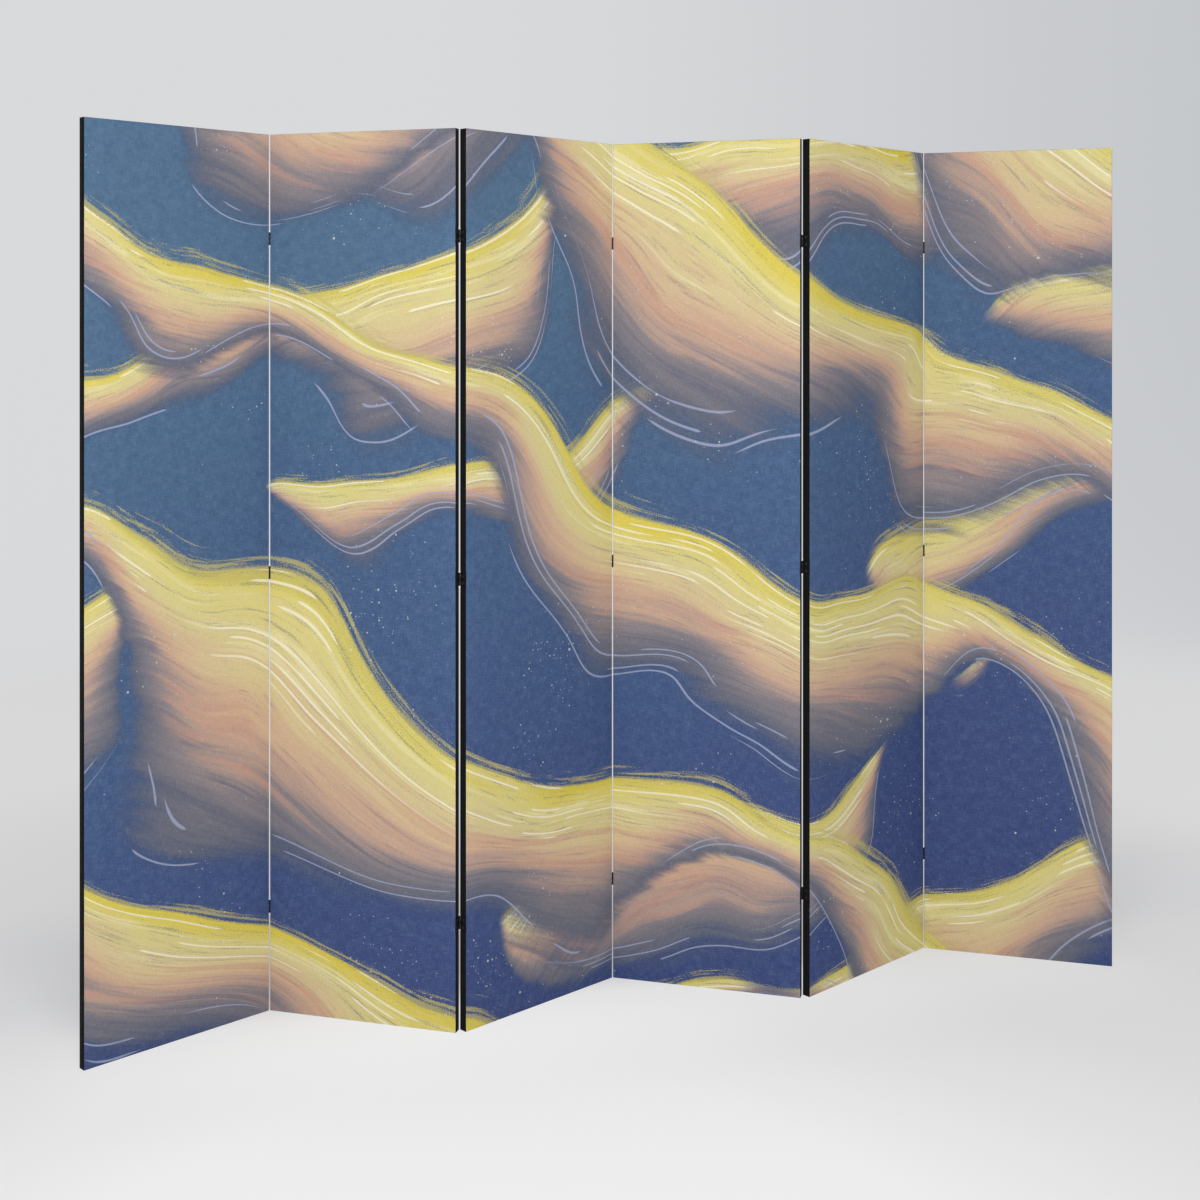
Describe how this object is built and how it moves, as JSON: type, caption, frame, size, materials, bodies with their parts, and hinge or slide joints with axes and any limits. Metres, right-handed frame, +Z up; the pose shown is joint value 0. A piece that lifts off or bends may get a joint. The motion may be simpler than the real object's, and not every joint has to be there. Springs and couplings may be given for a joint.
{
  "type": "folding screen",
  "caption": "Free-standing zig-zag folding screen: tall printed-canvas panels on hidden timber frames, lined in black, joined by small black butt hinges.",
  "frame": {"origin": "on the floor, under the middle of the screen as it stands", "axes": "X runs along the screen to the viewer's right, Y from the printed front to the back, Z up"},
  "size_m": [2.0592, 0.2068, 1.7],
  "materials": {
    "frame_wood": "planed, unfinished softwood",
    "printed_canvas": "matt woven canvas, printed",
    "black_lining": "matt black cloth",
    "hinge_black": "black, satin",
    "hinge_pin": "blackened steel"
  },
  "bodies": {
    "panel_1": {"panel_1_left_stile": "frame_wood", "panel_1_right_stile": "frame_wood", "panel_1_top_rail": "frame_wood", "panel_1_mid_rail": "frame_wood", "panel_1_bottom_rail": "frame_wood", "panel_1_canvas": "printed_canvas", "panel_1_lining": "black_lining", "fold_1_left_leaves": "hinge_black", "fold_1_pins": "hinge_pin"},
    "panel_2": {"panel_2_left_stile": "frame_wood", "panel_2_right_stile": "frame_wood", "panel_2_top_rail": "frame_wood", "panel_2_mid_rail": "frame_wood", "panel_2_bottom_rail": "frame_wood", "panel_2_canvas": "printed_canvas", "panel_2_lining": "black_lining", "fold_1_right_leaves": "hinge_black", "fold_2_left_leaves": "hinge_black", "fold_2_pins": "hinge_pin"},
    "panel_3": {"panel_3_left_stile": "frame_wood", "panel_3_right_stile": "frame_wood", "panel_3_top_rail": "frame_wood", "panel_3_mid_rail": "frame_wood", "panel_3_bottom_rail": "frame_wood", "panel_3_canvas": "printed_canvas", "panel_3_lining": "black_lining", "fold_2_right_leaves": "hinge_black", "fold_3_left_leaves": "hinge_black", "fold_3_pins": "hinge_pin"},
    "panel_4": {"panel_4_left_stile": "frame_wood", "panel_4_right_stile": "frame_wood", "panel_4_top_rail": "frame_wood", "panel_4_mid_rail": "frame_wood", "panel_4_bottom_rail": "frame_wood", "panel_4_canvas": "printed_canvas", "panel_4_lining": "black_lining", "fold_3_right_leaves": "hinge_black", "fold_4_left_leaves": "hinge_black", "fold_4_pins": "hinge_pin"},
    "panel_5": {"panel_5_left_stile": "frame_wood", "panel_5_right_stile": "frame_wood", "panel_5_top_rail": "frame_wood", "panel_5_mid_rail": "frame_wood", "panel_5_bottom_rail": "frame_wood", "panel_5_canvas": "printed_canvas", "panel_5_lining": "black_lining", "fold_4_right_leaves": "hinge_black", "fold_5_left_leaves": "hinge_black", "fold_5_pins": "hinge_pin"},
    "panel_6": {"panel_6_left_stile": "frame_wood", "panel_6_right_stile": "frame_wood", "panel_6_top_rail": "frame_wood", "panel_6_mid_rail": "frame_wood", "panel_6_bottom_rail": "frame_wood", "panel_6_canvas": "printed_canvas", "panel_6_lining": "black_lining", "fold_5_right_leaves": "hinge_black"}
  },
  "joints": [
    {"name": "fold_1", "type": "hinge", "parent": "panel_2", "child": "panel_1", "pos_m": [-0.68736, 0.08876, 0.85], "axis": [0, 0, 1], "range_deg": [-60, 120]},
    {"name": "fold_2", "type": "hinge", "parent": "panel_3", "child": "panel_2", "pos_m": [-0.34368, -0.08876, 0.85], "axis": [0, 0, -1], "range_deg": [-60, 120]},
    {"name": "fold_3", "type": "hinge", "parent": "panel_3", "child": "panel_4", "pos_m": [0, 0.08876, 0.85], "axis": [0, 0, -1], "range_deg": [-60, 120]},
    {"name": "fold_4", "type": "hinge", "parent": "panel_4", "child": "panel_5", "pos_m": [0.34368, -0.08876, 0.85], "axis": [0, 0, 1], "range_deg": [-60, 120]},
    {"name": "fold_5", "type": "hinge", "parent": "panel_5", "child": "panel_6", "pos_m": [0.68736, 0.08876, 0.85], "axis": [0, 0, -1], "range_deg": [-60, 120]}
  ]
}
